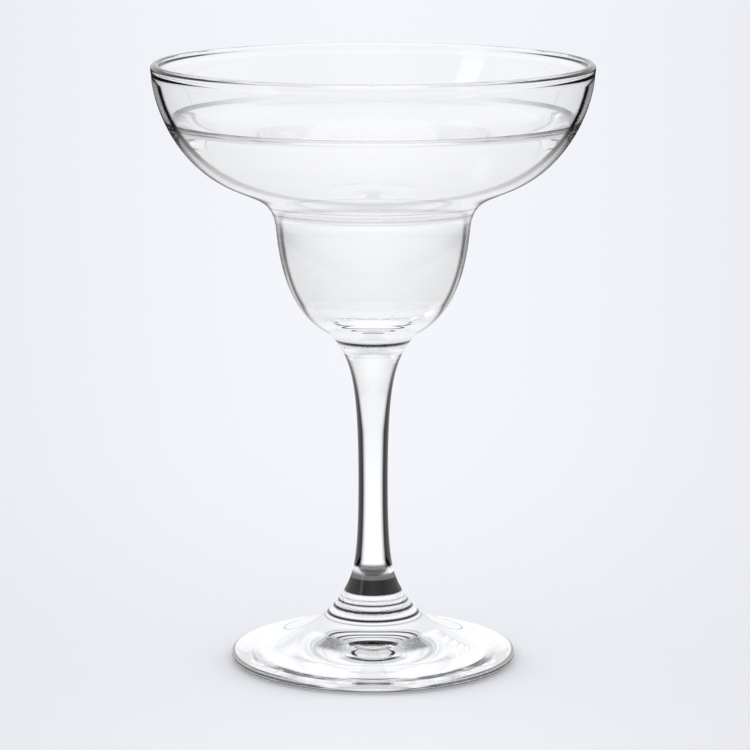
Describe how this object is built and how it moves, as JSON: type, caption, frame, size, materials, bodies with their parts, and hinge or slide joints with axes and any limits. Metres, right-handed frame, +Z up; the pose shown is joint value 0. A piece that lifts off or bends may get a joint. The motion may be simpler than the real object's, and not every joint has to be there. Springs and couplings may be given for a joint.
{
  "type": "margarita glass",
  "caption": "Clear margarita glass: a wide saucer bowl stepping down to a rounded well, on a slim waisted stem and a round coned foot.",
  "frame": {"origin": "middle of the flat ring under the foot, on the surface that the glass stands on", "axes": "+Z up along the glass's axis, from the foot to the rim; the glass is round, so +X and +Y are free"},
  "size_m": [0.112, 0.112, 0.1544],
  "materials": {
    "foot_glass": "clear soda-lime glass, fire-polished, pressed",
    "stem_glass": "clear soda-lime glass, fire-polished, drawn",
    "bowl_glass": "clear soda-lime glass, fire-polished, blown"
  },
  "bodies": {
    "root": {"foot": "foot_glass", "stem": "stem_glass", "bowl": "bowl_glass"}
  },
  "joints": []
}
